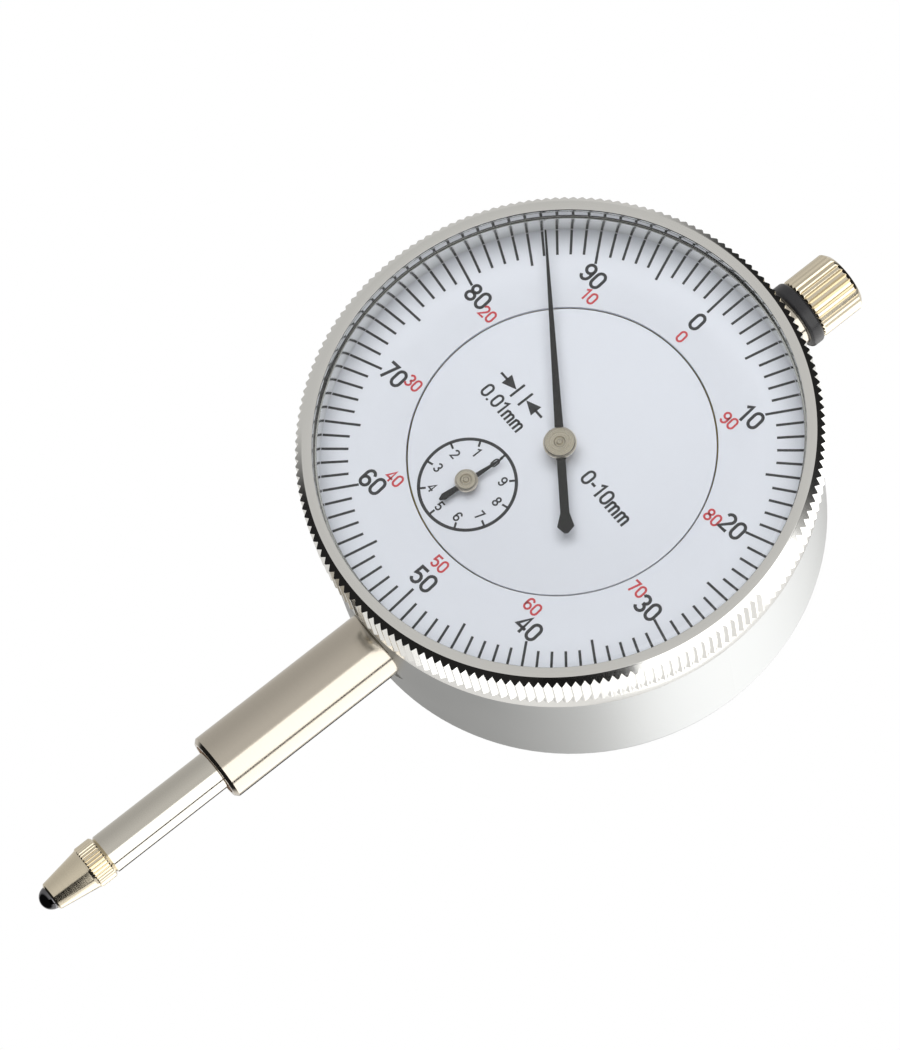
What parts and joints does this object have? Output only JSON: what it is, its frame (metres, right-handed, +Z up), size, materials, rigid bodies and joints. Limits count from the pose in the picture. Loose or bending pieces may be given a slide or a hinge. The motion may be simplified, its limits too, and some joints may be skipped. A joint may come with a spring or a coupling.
{
  "type": "dial indicator",
  "caption": "Plunger dial indicator: round case with a turning bezel and graduated dial, clamping stem below, sprung spindle with ball tip, and lug back.",
  "frame": {"origin": "on the spindle's axis, at the middle of the clamping stem's plain wall", "axes": "+Z up along the spindle from the contact point to the lifting cap, -Y out of the dial's face, +X to the right as the dial is read"},
  "size_m": [0.058, 0.0396, 0.1145],
  "materials": {
    "satin_chrome": "satin chrome plate",
    "case_silver": "fine satin",
    "nickel": "bright nickel plate",
    "hardened_steel": "ground and polished",
    "ball_steel": "lapped",
    "hub_nickel": "nickelled brass, turned",
    "brass": "machined",
    "plate_brass": "grained",
    "bronze": "bored",
    "black_rubber": "moulded",
    "dial_white": "matt printed enamel",
    "hand_black": "blackened",
    "crystal_clear": "clear acrylic",
    "spring_steel": "drawn wire",
    "blued_spring": "blued strip",
    "screw_steel": "turned"
  },
  "bodies": {
    "case": {"case_body": "case_silver", "back_cover": "case_silver", "cover_screws": "screw_steel", "stem": "nickel", "lower_bush": "bronze", "upper_bush": "nickel", "bumper_ring": "black_rubber", "main_plate": "plate_brass", "main_plate_screws": "screw_steel", "pillars": "brass", "front_plate": "plate_brass", "pillar_screws": "screw_steel", "pinion_bridge": "plate_brass", "bridge_posts": "brass", "bridge_screws": "screw_steel", "inner_dial": "dial_white", "guide_rail": "hardened_steel", "spring_post": "screw_steel", "return_spring": "spring_steel", "bezel_spring": "spring_steel", "hairspring": "blued_spring", "hairspring_stud": "brass"},
    "bezel_group": {"bezel": "satin_chrome", "crystal": "crystal_clear", "outer_dial": "dial_white", "dial_ring": "spring_steel"},
    "spindle_group": {"spindle": "hardened_steel", "guide_pin": "screw_steel", "contact_point": "nickel", "contact_ball": "ball_steel", "lifting_cap": "nickel"},
    "counter_arbor": {"rack_pinion": "brass", "counter_gear": "brass", "counter_hand": "hand_black", "counter_hub": "hub_nickel"},
    "centre_arbor": {"centre_pinion": "brass", "main_hand": "hand_black", "main_hub": "hub_nickel"},
    "takeup_group": {"takeup_arbor": "brass", "takeup_gear": "brass", "hairspring_collet": "brass"}
  },
  "joints": [
    {"name": "spindle_slide", "type": "slide", "parent": "case", "child": "spindle_group", "axis": [0, 0, 1], "range_m": [0, 0.01], "stiffness_N_per_m": 45, "springref_m": -0.013, "deforming": ["return_spring"]},
    {"name": "bezel_turn", "type": "hinge", "parent": "case", "child": "bezel_group", "pos_m": [0, -0.012, 0.0391], "axis": [0, 1, 0], "continuous": true},
    {"name": "counter_turn", "type": "hinge", "parent": "case", "child": "counter_arbor", "pos_m": [-0.0036, -0.006, 0.02871], "axis": [0, 1, 0], "range_deg": [-360, 0]},
    {"name": "centre_turn", "type": "hinge", "parent": "case", "child": "centre_arbor", "pos_m": [0, -0.006, 0.0391], "axis": [0, 1, 0], "range_deg": [0, 3600]},
    {"name": "takeup_turn", "type": "hinge", "parent": "case", "child": "takeup_group", "pos_m": [0.0036, -0.006, 0.04949], "axis": [0, 1, 0], "range_deg": [-360, 0]}
  ],
  "couplings": [
    {"joint": "counter_turn", "follows": "spindle_slide", "rad_per_m": -628.32},
    {"joint": "centre_turn", "follows": "spindle_slide", "rad_per_m": 6283.2},
    {"joint": "takeup_turn", "follows": "spindle_slide", "rad_per_m": -628.32}
  ]
}
